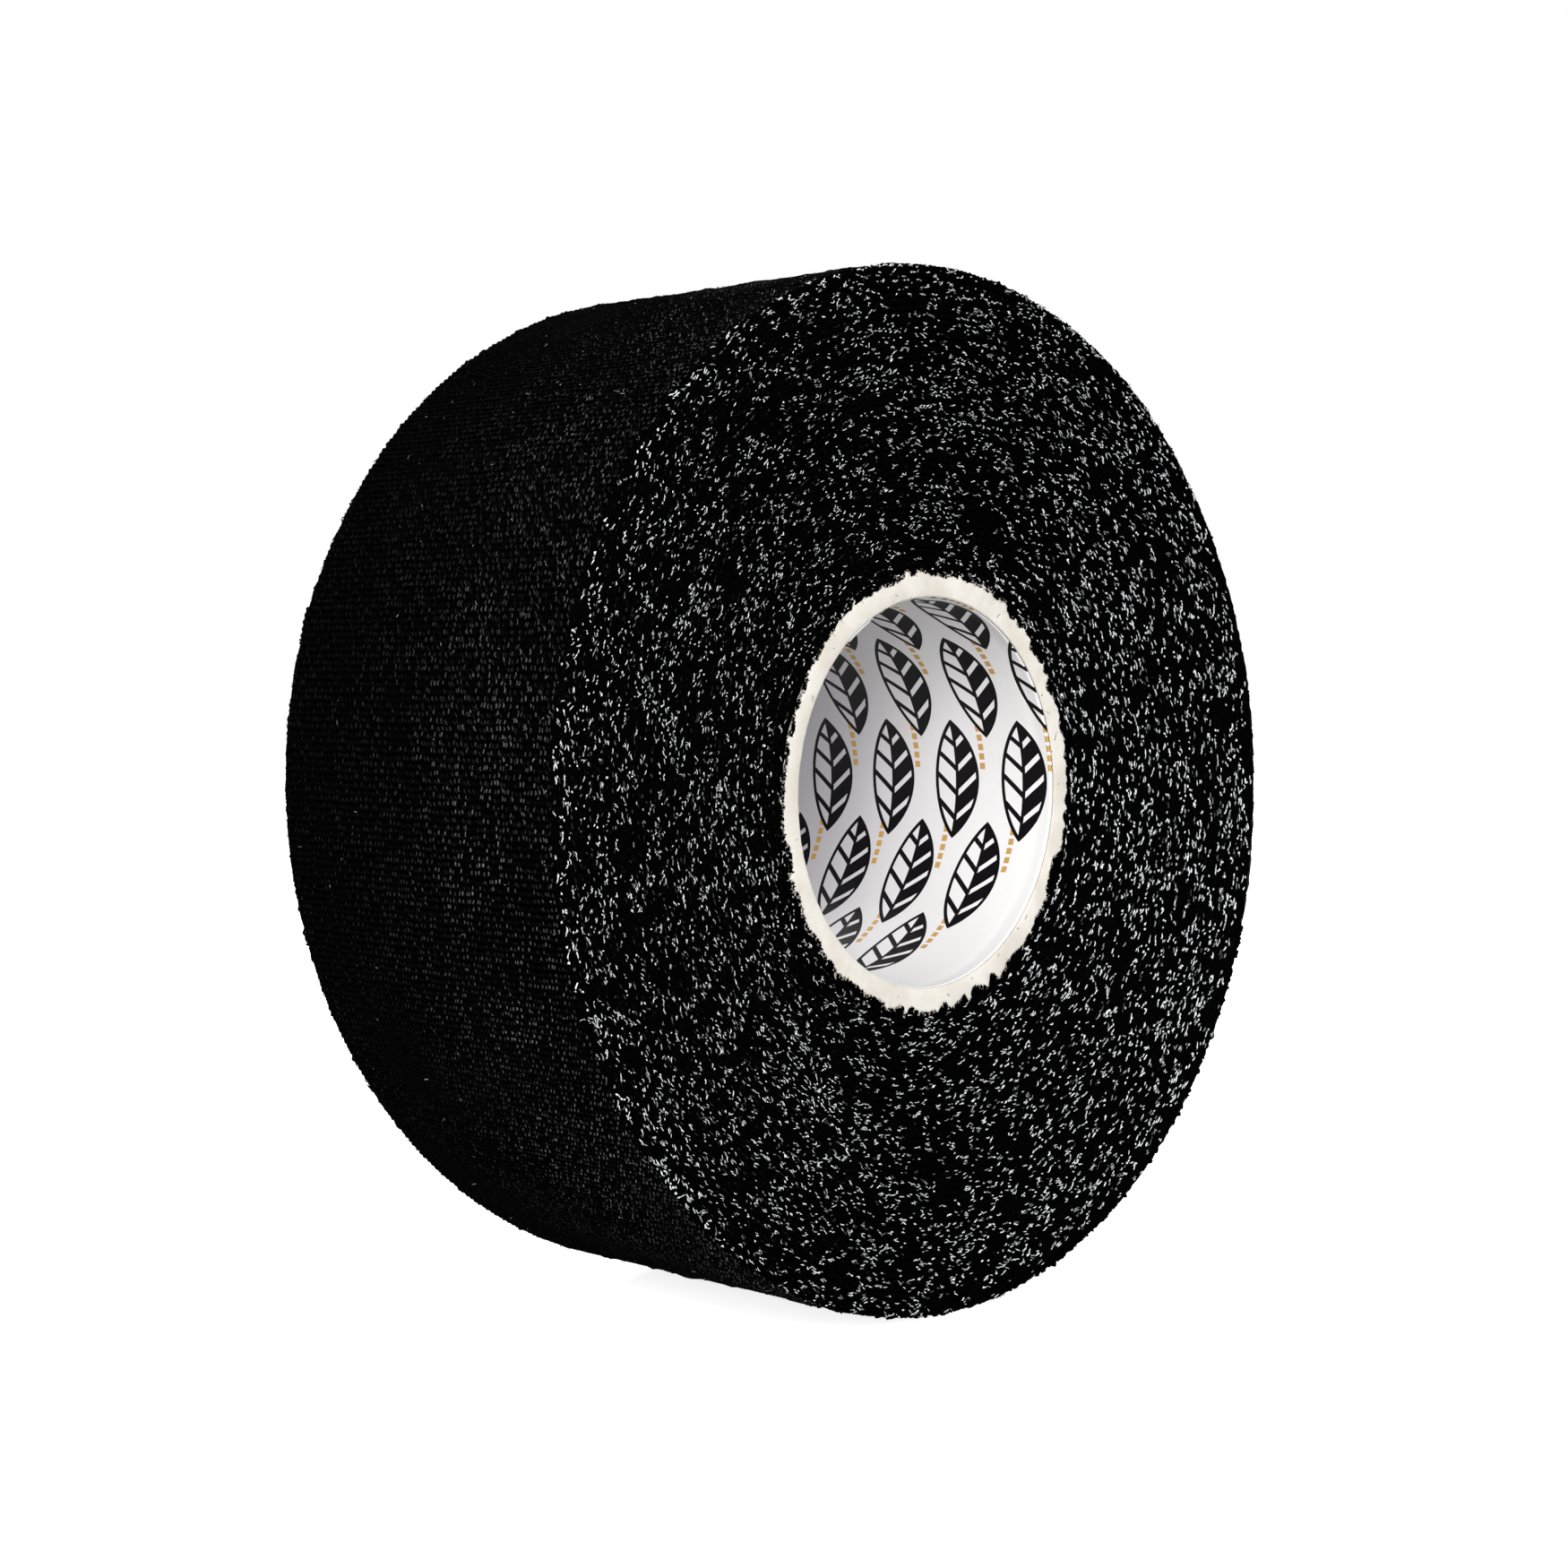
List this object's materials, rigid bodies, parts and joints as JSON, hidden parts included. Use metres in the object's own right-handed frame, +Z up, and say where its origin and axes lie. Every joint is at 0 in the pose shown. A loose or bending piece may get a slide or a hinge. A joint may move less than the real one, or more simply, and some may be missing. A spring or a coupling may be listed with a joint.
{
  "type": "grip tape roll",
  "caption": "Roll of black elastic fabric grip tape wound on a paper-lined board core, slightly dished at the front, with a free end that peels back.",
  "frame": {"origin": "centre of the bore and of the roll's box", "axes": "+Y along the bore from the dished front face to the back face, +Z up as the roll stands on its rim, +X to the right as seen from the front"},
  "size_m": [0.0667, 0.0274, 0.0664],
  "materials": {
    "core_board": "matt ivory paperboard",
    "printed_liner": null,
    "elastic_tape": "matt black elastic woven cloth, pale fibre ends on the cut edges"
  },
  "bodies": {
    "roll": {"core_tube": "core_board", "core_liner": "printed_liner", "tape_winding": "elastic_tape", "outer_turn": "elastic_tape"},
    "tail_1": {"tail_length_1": "elastic_tape"},
    "tail_2": {"tail_length_2": "elastic_tape"},
    "tail_3": {"tail_length_3": "elastic_tape"},
    "tail_4": {"tail_length_4": "elastic_tape"}
  },
  "joints": [
    {"name": "peel_1", "type": "hinge", "parent": "roll", "child": "tail_1", "pos_m": [0.03271, 0, -0.00695], "axis": [0, 1, 0], "range_deg": [0, 45]},
    {"name": "peel_2", "type": "hinge", "parent": "tail_1", "child": "tail_2", "pos_m": [0.03346, 0, 0], "axis": [0, 1, 0], "range_deg": [0, 45]},
    {"name": "peel_3", "type": "hinge", "parent": "tail_2", "child": "tail_3", "pos_m": [0.03274, 0, 0.00696], "axis": [0, 1, 0], "range_deg": [0, 45]},
    {"name": "peel_4", "type": "hinge", "parent": "tail_3", "child": "tail_4", "pos_m": [0.03059, 0, 0.01362], "axis": [0, 1, 0], "range_deg": [0, 45]}
  ],
  "couplings": [
    {"joint": "peel_2", "follows": "peel_1", "ratio": 1},
    {"joint": "peel_3", "follows": "peel_1", "ratio": 1},
    {"joint": "peel_4", "follows": "peel_1", "ratio": 1}
  ]
}
